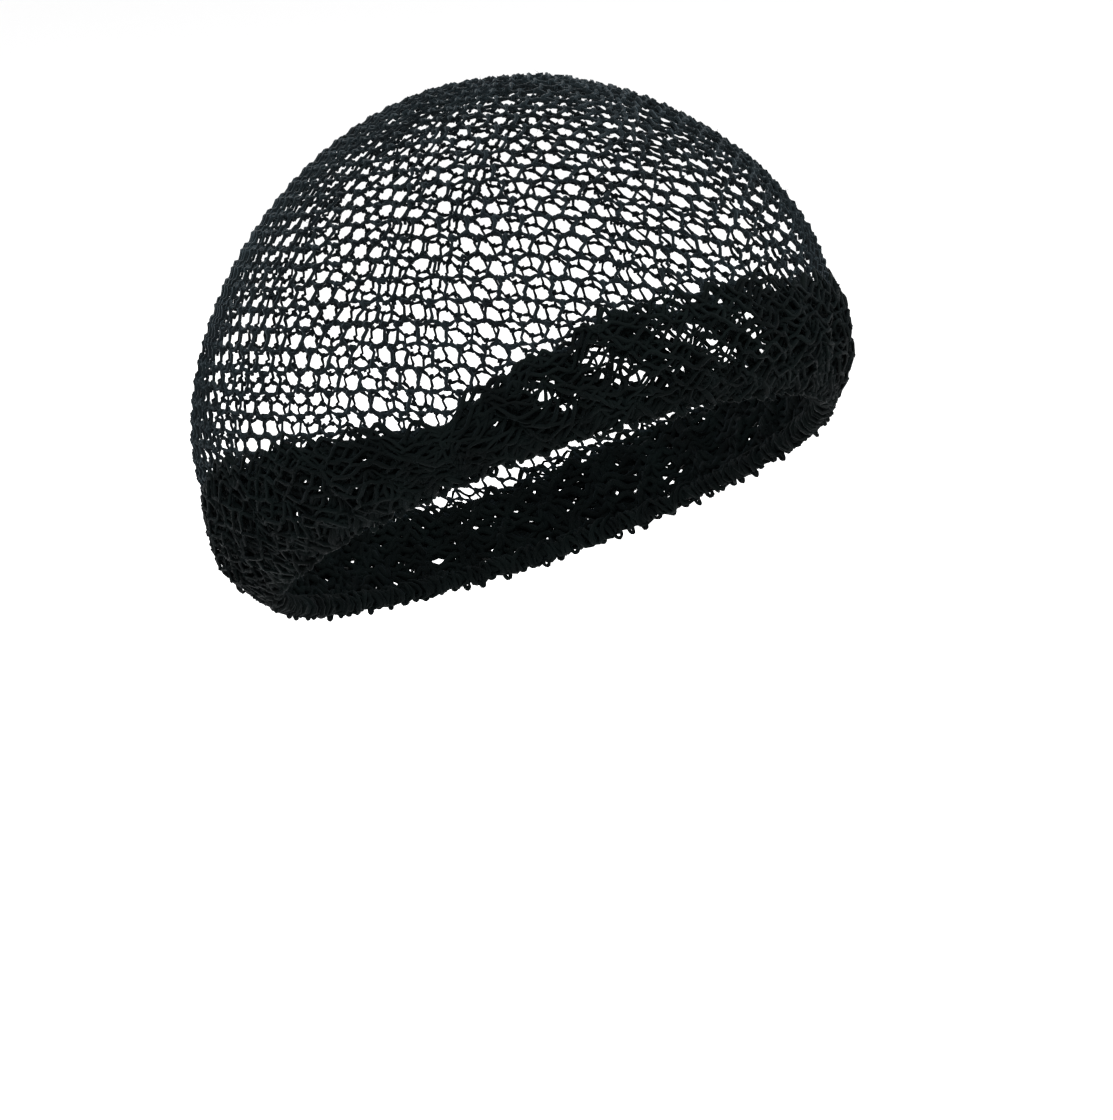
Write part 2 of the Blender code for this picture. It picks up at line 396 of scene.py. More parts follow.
def make_yarn(name, strands, thickness, sides, material):
    """Turns lists of (points, closed, swells) into one mesh of round strands."""
    spun = np.random.default_rng(len(name))
    curve = bpy.data.curves.new(name, "CURVE")
    curve.dimensions = "3D"
    curve.bevel_depth = thickness / 2
    curve.bevel_resolution = (sides - LEAST_SIDES) // 2
    curve.use_fill_caps = True
    for points, closed, swells in strands:
        spline = curve.splines.new("POLY")
        spline.points.add(len(points) - 1)
        spline.points.foreach_set("co", np.column_stack([points, np.ones(len(points))]).ravel())
        radii = swells * spun.uniform(THINNEST_SPUN, THICKEST_SPUN, len(points))
        spline.points.foreach_set("radius", radii)
        spline.use_cyclic_u = closed
    yarn = bpy.data.objects.new(name, curve)
    bpy.context.scene.collection.objects.link(yarn)
    bpy.ops.object.select_all(action="DESELECT")
    yarn.select_set(True)
    bpy.context.view_layer.objects.active = yarn
    bpy.ops.object.convert(target="MESH")
    bpy.ops.object.shade_smooth()
    yarn.data.materials.clear()
    yarn.data.materials.append(material)
    triangles = sum(len(face.vertices) - 2 for face in yarn.data.polygons)
    print(name, "has", len(strands), "strands and", triangles, "triangles")
    return yarn


# %% [markdown]
# ## The yarn itself
# The photographed yarn is almost black, a little blue in its light, soft and slightly fuzzy. The
# colour stays dark and rough, a sheen gives the cold glint that soft fibres have when light grazes
# them, and a fine noise, read in the piece's own space, roughens the surface like fibres do. The
# yarn of the border and the edge gets darker colours than the crown's: this is painted shade, for
# the shade that falls deep between its bunched and wound strands.

# %% Yarn materials
SPECULAR = 0.03
SHEEN_ROUGHNESS = 0.45
SHEEN_TINT = (0.50, 0.68, 0.80, 1.0)
PATCH_SCALE = 90.0
FIBRE_SCALE = 2600.0
FIBRE_RELIEF = 0.00025


def yarn_material(name, dark, light, roughness, sheen):
    """Soft black yarn: two near-black colours in slow patches, fine fibres and a cold sheen."""
    material = bpy.data.materials.new(name)
    material.use_nodes = True
    nodes, links = material.node_tree.nodes, material.node_tree.links
    shader = nodes["Principled BSDF"]
    shader.inputs["Roughness"].default_value = roughness
    shader.inputs["Specular IOR Level"].default_value = SPECULAR
    shader.inputs["Sheen Weight"].default_value = sheen
    shader.inputs["Sheen Roughness"].default_value = SHEEN_ROUGHNESS
    shader.inputs["Sheen Tint"].default_value = SHEEN_TINT
    place = nodes.new("ShaderNodeTexCoord")
    patches = nodes.new("ShaderNodeTexNoise")
    patches.inputs["Scale"].default_value = PATCH_SCALE
    patches.inputs["Detail"].default_value = 4.0
    colours = nodes.new("ShaderNodeValToRGB")
    colours.color_ramp.elements[0].position = 0.35
    colours.color_ramp.elements[0].color = (*dark, 1.0)
    colours.color_ramp.elements[1].position = 0.75
    colours.color_ramp.elements[1].color = (*light, 1.0)
    fibres = nodes.new("ShaderNodeTexNoise")
    fibres.inputs["Scale"].default_value = FIBRE_SCALE
    fibres.inputs["Detail"].default_value = 3.0
    fibres.inputs["Roughness"].default_value = 0.7
    relief = nodes.new("ShaderNodeBump")
    relief.inputs["Strength"].default_value = 0.75
    relief.inputs["Distance"].default_value = FIBRE_RELIEF
    links.new(place.outputs["Object"], patches.inputs["Vector"])
    links.new(place.outputs["Object"], fibres.inputs["Vector"])
    links.new(patches.outputs["Fac"], colours.inputs["Fac"])
    links.new(colours.outputs["Color"], shader.inputs["Base Color"])
    links.new(fibres.outputs["Fac"], relief.inputs["Height"])
    links.new(relief.outputs["Normal"], shader.inputs["Normal"])
    return material


net_yarn = yarn_material(
    "net_yarn", (0.001, 0.0018, 0.0022), (0.0045, 0.0072, 0.0085), 0.62, 0.06
)
# The border's and the edge's yarn gets darker colours than the crown's: painted shade, for the shade
# that falls between their bunched and wound strands.
gathered_yarn = yarn_material(
    "gathered_yarn", (0.0003, 0.0008, 0.0008), (0.0012, 0.0027, 0.0026), 0.72, 0.011
)
elastic_yarn = yarn_material(
    "elastic_yarn", (0.0003, 0.0008, 0.0008), (0.0012, 0.0026, 0.0025), 0.72, 0.011
)
loose_fibre = yarn_material(
    "loose_fibre", (0.001, 0.002, 0.002), (0.004, 0.0065, 0.007), 0.62, 0.04
)
yarns = (net_yarn, gathered_yarn, elastic_yarn, loose_fibre)
print("The cap's finishes are", ", ".join(yarn.name for yarn in yarns))

# %% [markdown]
# ## The wavy cord of each round
# The cord of a round runs as a wave, which falls from a high point to a low point in every opening
# and rises again. With the loops between the rounds, the wave makes the openings six-sided. Each
# high and low point is moved a little by chance, as handwork is, with a seed for each round.

# %% The middle line of a round's cord
WAVE_SAMPLES = 6
WAVE_DROP = ROUND_STEP * 0.25
HAND_TURN = 0.03
HAND_LENGTH = 0.00024


def wave_of_round(number):
    """Turn and length along the wavy cord of a round."""
    highs, lows = rounds[number]
    step = math.tau / len(highs)
    shake = np.random.default_rng(100 + number)
    highs = highs + shake.normal(0, HAND_TURN * step, len(highs))
    high_length = (number + 1) * ROUND_STEP - WAVE_DROP + shake.normal(0, HAND_LENGTH, len(highs))
    low_length = (number + 1) * ROUND_STEP + shake.normal(0, HAND_LENGTH, len(highs))
    half = WAVE_SAMPLES // 2
    parts = np.arange(half) / half
    fall = 0.5 - 0.5 * np.cos(math.pi * parts)
    turns, lengths = [], []
    for place in range(len(highs)):
        after = (place + 1) % len(highs)
        wrap = math.tau if after == 0 else 0.0
        low_turn = lows[place]
        turns += [highs[place] + (low_turn - highs[place]) * parts]
        lengths += [high_length[place] + (low_length[place] - high_length[place]) * fall]
        turns += [low_turn + (highs[after] + wrap - low_turn) * parts]
        lengths += [low_length[place] + (high_length[after] - low_length[place]) * fall]
    return np.concatenate(turns), np.concatenate(lengths)


print("The cord of the last round has", len(wave_of_round(LAST_ROUND - 1)[0]), "points")

# %% [markdown]
# ## Two strands, twisted
# The cord itself is two strands twisted together. They go round the middle line on opposite sides,
# and the line's own tangent and the outward direction give the plane in which they turn. Both
# swell at the high and low points, where the real cord is knotted. Past the border's upper edge the
# cord is cut, and only the stretches of a round that are kept become strands.

# %% Twisted pairs along a wave
STRAND = 0.00082
PAIR_SPREAD = 0.00033
TWISTS_PER_OPENING = 1.25
UNDER_FORM = -0.0011
MEAN_SWELL = 1.06
KNOT_SWELL = 0.30
SHORTEST_RUN = 4


def twisted_pair(points, ways, swells, closed, twist_step):
    """Two strands twisted round a line of points."""
    if closed:
        along = np.roll(points, -1, axis=0) - np.roll(points, 1, axis=0)
    else:
        along = np.gradient(points, axis=0)
    along /= np.linalg.norm(along, axis=1, keepdims=True)
    side = np.cross(along, ways)
    side /= np.linalg.norm(side, axis=1, keepdims=True)
    face = np.cross(side, along)
    angle = (np.arange(len(points)) * twist_step)[:, None]
    offset = PAIR_SPREAD * swells[:, None] * (np.cos(angle) * face + np.sin(angle) * side)
    return [(points + offset, closed, swells), (points - offset, closed, swells)]


def kept_runs(kept):
    """The stretches of a closed round that are kept, as lists of places."""
    if kept.all():
        return [(np.arange(len(kept)), True)]
    if not kept.any():
        return []
    start = int(np.flatnonzero(~kept)[0])
    order = np.roll(np.arange(len(kept)), -start)
    edges = np.flatnonzero(np.diff(np.concatenate([[0], kept[order].astype(int), [0]])))
    return [(order[a:b], False) for a, b in zip(edges[::2], edges[1::2]) if b - a >= SHORTEST_RUN]


def cords_of_rounds(first, last):
    """The twisted cords of a range of rounds."""
    strands = []
    for number in range(first, last):
        turn, length = wave_of_round(number)
        openings = len(turn) // WAVE_SAMPLES
        twists = round(TWISTS_PER_OPENING * openings)
        points, ways = worn(turn, length, np.full(len(turn), UNDER_FORM))
        waves = 2 * math.tau * np.arange(len(turn)) / WAVE_SAMPLES
        swells = MEAN_SWELL + KNOT_SWELL * np.cos(waves)
        for run, closed in kept_runs(is_kept(turn, length)):
            step = math.tau * twists / len(turn)
            strands += twisted_pair(points[run], ways[run], swells[run], closed, step)
    return strands


print("The cord is", round((STRAND + 2 * PAIR_SPREAD) * 1000, 2), "mm thick where it doesn't swell")

# %% [markdown]
# ## The loops that tie the rounds
# A loop hooks over the low point of one cord from behind, comes down in front, and goes round the
# high point of the next. A short table says where each bend of the loop lies from the end of the
# loop that it belongs to, along, out and across, counted in cord radii, and how thick it is there.
# The first round's loops are tied to a small thicker ring, which is the middle of the net.

# %% Loops between two rounds
LOOP_THICKNESS = 0.00114
CORD_RADIUS = 0.00076
FORM_RADIUS = 0.1
LEAST_ROUND_RADIUS = 0.02
RING_RADIUS = 0.0017
RING_POINTS = 16
RING_SWELL = 1.5

LOOP_BENDS = (
    {"end": 0, "along": 0.60, "out": -0.95, "across": 0.70, "swell": 0.9},
    {"end": 0, "along": -0.95, "out": -0.60, "across": 0.55, "swell": 1.0},
    {"end": 0, "along": -1.05, "out": 0.45, "across": -0.45, "swell": 1.05},
    {"end": 0, "along": 0.15, "out": 1.25, "across": -0.65, "swell": 1.05},
    {"end": 0, "along": 1.70, "out": 0.55, "across": 0.05, "swell": 1.0},
    {"end": 1, "along": -1.75, "out": 0.10, "across": 0.05, "swell": 1.0},
    {"end": 1, "along": -0.60, "out": 1.05, "across": 0.50, "swell": 1.05},
    {"end": 1, "along": 0.75, "out": 0.90, "across": -0.35, "swell": 1.05},
    {"end": 1, "along": 0.95, "out": -0.55, "across": -0.60, "swell": 0.95},
)
LOOP_SWELLS = np.array([bend["swell"] for bend in LOOP_BENDS])


def loops_of_rounds(first, last):
    """The loops from the low points of each round to the high points of the next."""
    strands = []
    for number in range(first, last):
        high_turns = rounds[number][0] % math.tau
        low_turns = ties[number - 1] if number else high_turns
        low_length = number * ROUND_STEP if number else RING_RADIUS
        high_length = (number + 1) * ROUND_STEP - WAVE_DROP
        away = turn_between(high_turns[:, None], low_turns[None, :])
        partner = np.argmin(np.abs(away), axis=1)
        starts = low_turns[partner]
        reach = turn_between(high_turns, starts)
        kept = is_kept(starts, np.full(len(starts), high_length))
        columns = []
        for bend in LOOP_BENDS:
            turn = starts + reach * bend["end"]
            middle = high_length if bend["end"] else low_length
            length = np.full(len(turn), middle + bend["along"] * CORD_RADIUS)
            radius = max(FORM_RADIUS * math.sin(middle / FORM_RADIUS), LEAST_ROUND_RADIUS)
            turn = turn + bend["across"] * CORD_RADIUS / radius
            out = np.full(len(turn), UNDER_FORM + bend["out"] * CORD_RADIUS)
            points, _ = worn(turn, length, out)
            columns.append(points)
        loops = np.stack(columns, axis=1)
        strands += [(loop, False, LOOP_SWELLS) for loop in loops[kept]]
    return strands


def middle_ring():
    """The little ring that the first loops are tied to."""
    turn = np.linspace(0, math.tau, RING_POINTS, endpoint=False)
    lengths = np.full(RING_POINTS, RING_RADIUS)
    points, _ = on_crown(turn, lengths, np.full(RING_POINTS, UNDER_FORM))
    return [(points, True, np.full(RING_POINTS, RING_SWELL))]


print("A loop has", len(LOOP_BENDS), "bends, and the middle ring is", RING_RADIUS * 2000, "mm wide")

# %% [markdown]
# ## The crown's net
# All rounds in one mesh would be a very large one, so the crown is made as three parts that follow
# each other, each with its cords and its loops. A cord shows its twist, so it gets six sides, and
# a loop is mostly hidden in its knots, so four are enough.

# %% The crown's net, in three parts
CORD_SIDES = 6
LOOP_SIDES = 4

CROWN_PARTS = (
    {"name": "crown_top_net", "first": 0, "last": 18},
    {"name": "crown_side_net", "first": 18, "last": 25},
    {"name": "crown_lower_net", "first": 25, "last": LAST_ROUND},
)

crown_pieces = []
for part in CROWN_PARTS:
    cords = cords_of_rounds(part["first"], part["last"])
    ring = middle_ring() if part["first"] == 0 else []
    loops = ring + loops_of_rounds(part["first"], part["last"])
    crown_pieces += [
        make_yarn(part["name"] + "_cords", cords, STRAND, CORD_SIDES, net_yarn),
        make_yarn(part["name"] + "_loops", loops, LOOP_THICKNESS, LOOP_SIDES, net_yarn),
    ]

# %% [markdown]
# ## The gathered border
# Below the crown the net is bunched, several layers deep, down to the elastic. It could be simulated
# as a net that is pulled together, but thousands of strands that touch are too many for that. So
# each layer is laid by a plan, as the crown is, from a table: how far out it lies, how much of the
# band it covers, how thick its yarn is, and how much thinner it gets where the band is loose. The
# inner layers have the thicker yarn, since they have to close the band behind the fine outer one.

# %% The four layers, and smooth wandering
BORDER_LAYERS = (
    {"name": "border_inner_layer", "out": -0.0030, "reach": 0.90, "yarn": 0.0026, "loose": 0.88,
     "openings": 100, "rounds": 11, "seed": 21},
    {"name": "border_second_layer", "out": -0.0015, "reach": 0.96, "yarn": 0.0021, "loose": 0.88,
     "openings": 104, "rounds": 12, "seed": 22},
    {"name": "border_third_layer", "out": 0.0002, "reach": 0.92, "yarn": 0.0015, "loose": 0.36,
     "openings": 108, "rounds": 12, "seed": 23},
    {"name": "border_outer_layer", "out": 0.0019, "reach": 1.00, "yarn": 0.0012, "loose": 0.08,
     "openings": 100, "rounds": 12, "seed": 24},
)
NOISE_WAVES = 5


def smooth_noise(turn, level, seed, waves):
    """A smooth wandering of about -1 to 1, with few or many waves round the border."""
    source = np.random.default_rng(seed)
    value = np.zeros_like(turn)
    for _ in range(NOISE_WAVES):
        round_waves = source.integers(waves[0], waves[1])
        up_waves = source.uniform(0.4, 1.6)
        start = source.uniform(0, math.tau)
        value += np.sin(round_waves * turn + math.tau * up_waves * level + start)
    return value / 3


def eased(place, knots):
    """Values given at whole places, with soft steps between them."""
    before = np.floor(place).astype(int) % len(knots)
    ease = 0.5 - 0.5 * np.cos(math.pi * (place % 1.0))
    return knots[before] * (1 - ease) + knots[(before + 1) % len(knots)] * ease


print("The border has", sum(layer["rounds"] for layer in BORDER_LAYERS), "bunched rounds in",
      len(BORDER_LAYERS), "layers")

# %% [markdown]
# ## Loose at the front, tucked in at its edges
# In the photograph the band is closed nearly all round, but at its front small holes lie in
# patches. So a looseness is worked out for every point, which is 0 outside that stretch, and the
# yarn gets thinner with it. At the elastic and at the band's upper edge the layers are held close
# to the form, or they would stand off it like a frill.

# %% Looseness and tucking in
LOOSE_DEGREES = (-42, -30, 12, 24)
LOOSE_SHARES = (0, 1, 1, 0)
PATCH_SEED = 77
PATCHES_UP = 55
PATCH_WAVES = (18, 40)
PATCH_MEAN = 0.62
PATCH_SPREAD = 0.60
PATCH_LEAST = 0.10


def looseness(turn, height):
    """How open the band is: up to 1 in patches of its front above the edge, 0 elsewhere."""
    in_front = np.interp(in_degrees(turn), LOOSE_DEGREES, LOOSE_SHARES)
    wandering = smooth_noise(turn, height * PATCHES_UP, PATCH_SEED, PATCH_WAVES)
    patches = np.clip(PATCH_MEAN + PATCH_SPREAD * wandering, PATCH_LEAST, 1.0)
    above_edge = np.interp(height, (0.006, 0.010), (0, 1))
    below_top = np.interp(band_top(turn) - height, (0.001, 0.010), (0.15, 1))
    return in_front * patches * above_edge * below_top


def tucked_in(turn, height):
    """At the elastic and at its upper edge the band's layers lie close on the form."""
    above_edge = np.interp(height, (0.003, 0.012), (0.25, 1.0))
    below_top = np.interp(band_top(turn) - height, (-0.002, 0.008), (0.15, 1.0))
    return above_edge * below_top


loose_turns = np.radians(np.linspace(LOOSE_DEGREES[0], LOOSE_DEGREES[-1], 100))
loose_values = looseness(loose_turns, np.full(100, 0.015))
print("At its front the band's looseness is", round(float(loose_values.mean()), 2), "on average")

# %% [markdown]
# ## A bunched round
# A round of the border is a wave too, but squeezed, gathered and shaken: the gathers push its
# strands together and apart sideways, and in and out, slow waves lift and sink it, and each opening
# is pulled a little its own way. The strands that come out thinnest are left out, which leaves the
# holes, and short ties join each round to the nearest low points of the next.

# %% Rounds and ties of a layer
BORDER_FOOT = 0.0032
LOWEST_STRAND = 0.0022
HIGHEST_STRAND = 0.052
BORDER_SAMPLES = 6
BORDER_SIDES = 4
GATHERS = 34
GATHER_WANDER = 1.6
GATHER_SIDEWAYS = 0.019
GATHER_OUTWARDS = 0.0014
TOP_WANDER = 0.0028
HEIGHT_WANDER = 0.0021
TURN_WANDER = 0.012
OUTWARD_WANDER = 0.0008
SHAKE_RANGE = 1.6
HEIGHT_SHAKE = 0.0008
TURN_SHAKE = 0.007
OUTWARD_SHAKE = 0.0005
TIE_REACH = 0.007
TIE_BULGE = 0.0005
THINNEST_TIED = 0.62
THINNEST_KEPT = 0.38


def border_round(layer, number):
    """One bunched round: turn, height, how far out, and how thick its yarn is."""
    openings, seed = layer["openings"], layer["seed"]
    source = np.random.default_rng(seed * 100 + number)
    place = np.arange(openings * BORDER_SAMPLES) / BORDER_SAMPLES
    around = math.tau * (place + 0.5 * (number % 2)) / openings
    level = (number + 0.5) / layer["rounds"]
    top = layer["reach"] * band_top(around)
    top = top + TOP_WANDER * smooth_noise(around, 0, seed + 5, (5, 22))
    step = (top - BORDER_FOOT) / layer["rounds"]
    pulls = source.uniform(-SHAKE_RANGE, SHAKE_RANGE, (3, openings))
    height_shake, turn_shake, outward_shake = [eased(place, row) for row in pulls]
    height = BORDER_FOOT + (top - BORDER_FOOT) * level + step * 0.5 * np.cos(math.tau * place)
    lift = HEIGHT_WANDER * smooth_noise(around, level, seed + 20, (16, 44))
    height += lift + HEIGHT_SHAKE * height_shake
    gather = GATHERS * around
    gather = gather + GATHER_WANDER * smooth_noise(around, level, seed + 30, (4, 12))
    open_up = math.sin(math.pi * min(level + 0.12, 1.0))
    turn = around + GATHER_SIDEWAYS * open_up * np.sin(gather) + TURN_SHAKE * turn_shake
    turn += TURN_WANDER * smooth_noise(around, level, seed + 50, (14, 40))
    stand_out = layer["out"] + GATHER_OUTWARDS * open_up * np.cos(gather)
    stand_out += OUTWARD_SHAKE * outward_shake
    stand_out += OUTWARD_WANDER * smooth_noise(around, level, seed + 90, (9, 40))
    height = np.clip(height, LOWEST_STRAND, HIGHEST_STRAND)
    swells = 1 - layer["loose"] * looseness(turn, height)
    return turn, height, stand_out * tucked_in(turn, height), swells


def border_layer(layer):
    """All the strands of one bunched layer."""
    strands = []
    laid = []
    for number in range(layer["rounds"]):
        turn, height, stand_out, swells = border_round(layer, number)
        points, ways = on_form(height, turn, stand_out)
        for run, closed in kept_runs(swells > THINNEST_KEPT):
            strands.append((points[run], closed, swells[run]))
        laid.append((points, ways, swells))
    half = BORDER_SAMPLES // 2
    for (lower, ways, swells), (upper, _, _) in zip(laid, laid[1:]):
        feet_of_upper = upper[half::BORDER_SAMPLES]
        crests = slice(None, None, BORDER_SAMPLES)
        for top, way, swell in zip(lower[crests], ways[crests], swells[crests]):
            foot = feet_of_upper[np.argmin(np.linalg.norm(feet_of_upper - top, axis=1))]
            if np.linalg.norm(foot - top) < TIE_REACH and swell > THINNEST_TIED:
                middle = (top + foot) / 2 + TIE_BULGE * way
                strands.append((np.stack([top, middle, foot]), False, np.ones(3)))
    return strands


border_pieces = [
    make_yarn(layer["name"], border_layer(layer), layer["yarn"], BORDER_SIDES, gathered_yarn)
    for layer in BORDER_LAYERS
]

# %% [markdown]
# ## The elastic edge
# Round the mouth runs an elastic cord, worked over closely with yarn. The cord is a plain core, and
# the yarn is wound round it in three coils, a close one, a wider one to the other hand over it, and
# a thin wide one over both. One even coil would look like a spring, so every winding is pulled and
# swollen a little by chance.

# %% The core and its three coils
EDGE_MIDDLE = 0.0028
EDGE_OUT = -0.0022
CORE_THICKNESS = 0.0034
CORE_POINTS = 240
CORE_SIDES = 8
COIL_YARN = 0.0016
COIL_TURNS = 240
COIL_SAMPLES = 9
COIL_SIDES = 6
COIL_PULL = 0.6
COIL_SLANT = 0.9
SLANT_UNEVEN = 0.25
RADIUS_UNEVEN = 0.00036
THICKNESS_UNEVEN = 0.20

EDGE_COILS = (
    {"coil_turns": COIL_TURNS, "hand": 1, "proud": -0.0003, "thickness": 1.0, "seed": 61},
    {"coil_turns": COIL_TURNS // 2, "hand": -1, "proud": 0.0002, "thickness": 0.85, "seed": 62},
    {"coil_turns": COIL_TURNS // 3, "hand": 1, "proud": 0.0004, "thickness": 0.65, "seed": 63},
)


def edge_core():
    """The elastic cord."""
    turn = np.linspace(0, math.tau, CORE_POINTS, endpoint=False)
    height = np.full(CORE_POINTS, EDGE_MIDDLE)
    points, _ = on_form(height, turn, np.full(CORE_POINTS, EDGE_OUT))
    return (points, True, np.ones(CORE_POINTS))


def edge_coil(coil_turns, hand, proud, thickness, seed):
    """Yarn wound round the elastic cord, to one hand or the other."""
    count = coil_turns * COIL_SAMPLES
    place = np.arange(count) / COIL_SAMPLES
    angle = math.tau * place
    pulls = np.random.default_rng(seed).uniform(-SHAKE_RANGE, SHAKE_RANGE, (2, coil_turns))
    pull, swell = [eased(place, row) for row in pulls]
    slant = (COIL_SLANT + SLANT_UNEVEN * swell) * coil_turns / COIL_TURNS
    turn = hand * math.tau * (place + COIL_PULL * pull + slant * np.sin(angle)) / coil_turns
    radius = (CORE_THICKNESS + COIL_YARN) / 2 + proud + RADIUS_UNEVEN * swell
    height = EDGE_MIDDLE + radius * np.sin(angle)
    points, _ = on_form(np.maximum(height, 0.0), turn, EDGE_OUT + radius * np.cos(angle))
    low = np.minimum(height, 0.0)[:, None]
    points = points + low * lean_back(np.array([[0.0, 0.0, 1.0]]))
    return (points, True, thickness * (1 + THICKNESS_UNEVEN * swell))


coils = [edge_coil(**coil) for coil in EDGE_COILS]
edge_pieces = [
    make_yarn("edge_elastic", [edge_core()], CORE_THICKNESS, CORE_SIDES, elastic_yarn),
    make_yarn("edge_coil", coils, COIL_YARN, COIL_SIDES, elastic_yarn),
]

# %% [markdown]
# ## Picots
# Below the elastic a row of small picots hangs down, each a little loop of its own, some hardly to
# be seen and some a few millimetres long. At the front one longer, thinner loop of yarn has worked
# itself slack. All are laid on the form and then let down, most in their middle.

# %% Picots and the slack loop
PICOTS = 112
PICOT_YARN = 0.0014
PICOT_DROP = 0.0021
PICOT_POINTS = 9
PICOT_SIDES = 6
PICOT_SWEEP = math.pi * 0.62
SLACK_LOOP_TURN = math.radians(-9)
SLACK_LOOP_WIDTH = 0.022
SLACK_LOOP_DROP = 0.0028
SLACK_LOOP_POINTS = 13
SLACK_LOOP_SWEEP = math.pi * 0.7
SLACK_LOOP_SWELL = 0.5


def let_down(points, sweep, drop, least):
    """Lets a loop's points down from the edge, most in its middle."""
    down = lean_back(np.array([0.0, 0.0, -1.0]))
    return points + down * (drop * (0.5 + 0.5 * np.cos(sweep)) + least)[:, None]


def edge_picots():
    """The row of little loops under the edge."""
    source = np.random.default_rng(71)
    sweep = np.linspace(-PICOT_SWEEP, PICOT_SWEEP, PICOT_POINTS)
    out = -0.0016 + 0.0012 * np.cos(sweep * 0.8)
    height = np.full(PICOT_POINTS, EDGE_MIDDLE - 0.001)
    strands = []
    for number in range(PICOTS):
        middle = math.tau * (number + source.uniform(-0.2, 0.2)) / PICOTS
        width = math.tau / PICOTS * source.uniform(0.13, 0.24)
        drop = PICOT_DROP * source.uniform(0.3, 1.3)
        points, _ = on_form(height, middle + width * np.sin(sweep), out)
        points = let_down(points, sweep, drop, 0.0004)
        strands.append((points, False, np.ones(PICOT_POINTS)))
    return strands


def slack_loop():
    """The one longer loop at the front."""
    sweep = np.linspace(-SLACK_LOOP_SWEEP, SLACK_LOOP_SWEEP, SLACK_LOOP_POINTS)
    turn = SLACK_LOOP_TURN + SLACK_LOOP_WIDTH * np.sin(sweep)
    height = np.full(SLACK_LOOP_POINTS, EDGE_MIDDLE)
    points, _ = on_form(height, turn, 0.0008 * np.cos(sweep))
    points = let_down(points, sweep, SLACK_LOOP_DROP, 0.0012)
    return (points, False, np.full(SLACK_LOOP_POINTS, SLACK_LOOP_SWELL))


hanging = edge_picots() + [slack_loop()]
edge_pieces.append(make_yarn("edge_picots", hanging, PICOT_YARN, PICOT_SIDES, elastic_yarn))

# %% [markdown]
# ## Loose fibres
# Soft yarn is fuzzy, and against a pale ground that is what blurs its outline. A particle system
# would grow fibres too, but each would have many faces. So every fibre here is a bent spike with
# three sides, ten triangles in all, and thousands of them make up one mesh. They start at points of
# the yarn's own mesh, picked by a seeded chance, and lean out of it.

# %% A fibre, and many of them
FIBRE_RADIUS = 0.000055
FIBRE_LEAN = 0.55
FIBRE_BEND = 0.55
FIBRE_CORNERS = 7
FIBRE_SPIKE = (
    (0, 2, 1),
    (0, 1, 4), (0, 4, 3),
    (1, 2, 5), (1, 5, 4),
    (2, 0, 3), (2, 3, 5),
    (3, 4, 6), (4, 5, 6), (5, 3, 6),
)


def roots_on(piece, count, seed):
    """Places on a piece's surface where fibres start, and the ways out of it."""
    source = np.random.default_rng(seed)
    mesh = piece.data
    places = np.empty(len(mesh.vertices) * 3)
    mesh.vertices.foreach_get("co", places)
    normals = np.empty(len(mesh.vertices) * 3)
    mesh.vertices.foreach_get("normal", normals)
    picks = source.choice(len(mesh.vertices), count, replace=False)
    return places.reshape(-1, 3)[picks], normals.reshape(-1, 3)[picks]


def grow_fibres(name, roots, ways, lengths, material, seed):
    """A mesh of bent three-sided spikes."""
    source = np.random.default_rng(seed)
    count = len(roots)
    ways = ways + source.normal(0, FIBRE_LEAN, (count, 3))
    ways /= np.linalg.norm(ways, axis=1, keepdims=True)
    side = np.cross(ways, source.normal(0, 1, (count, 3)))
    side /= np.linalg.norm(side, axis=1, keepdims=True)
    other = np.cross(ways, side)
    reach = source.uniform(lengths[0], lengths[1], (count, 1))
    bend = source.normal(0, FIBRE_BEND, (count, 3)) * reach * 0.5
    corners = []
    for share, thick in ((0.0, 1.0), (0.5, 0.85)):
        middle = roots + ways * reach * share
        for angle in (0, math.tau / 3, 2 * math.tau / 3):
            across = math.cos(angle) * side + math.sin(angle) * other
            corners.append(middle + across * FIBRE_RADIUS * thick)
    corners.append(roots + ways * reach + bend)
    corners = np.stack(corners, axis=1).reshape(-1, 3)
    first_corners = FIBRE_CORNERS * np.arange(count)[:, None, None]
    faces = np.array(FIBRE_SPIKE)[None, :, :] + first_corners
    mesh = bpy.data.meshes.new(name)
    mesh.from_pydata(corners.tolist(), [], faces.reshape(-1, 3).tolist())
    mesh.materials.append(material)
    fibres = bpy.data.objects.new(name, mesh)
    bpy.context.scene.collection.objects.link(fibres)
    print(name, "has", count, "fibres and", len(mesh.polygons), "triangles")
    return fibres


def fibres_of(name, pieces, each, lengths, seed):
    """The fibres of several pieces."""
    found = [roots_on(piece, each, seed + index) for index, piece in enumerate(pieces)]
    roots = np.concatenate([places for places, _ in found])
    ways = np.concatenate([normals for _, normals in found])
    return grow_fibres(name, roots, ways, lengths, loose_fibre, seed)


print("A fibre has", FIBRE_CORNERS, "corners and", len(FIBRE_SPIKE), "triangles")

# %% [markdown]
# ## Fuzz on the net, the border and the edge
# The bunched border is the fuzziest, since its yarn has been rubbed and crumpled, and the crown's
# stretched net the least. The border's inner layer and the elastic's core lie hidden, so no fibres
# are spent on them.

# %% Short fibres on the net, the border and the edge
crown_fibres = fibres_of("crown_fibres", crown_pieces, 800, (0.0007, 0.0018), 80)
border_fibres = fibres_of("border_fibres", border_pieces[1:], 3400, (0.0009, 0.0022), 90)
edge_fibres = fibres_of("edge_fibres", edge_pieces[1:], 1900, (0.0008, 0.0020), 100)
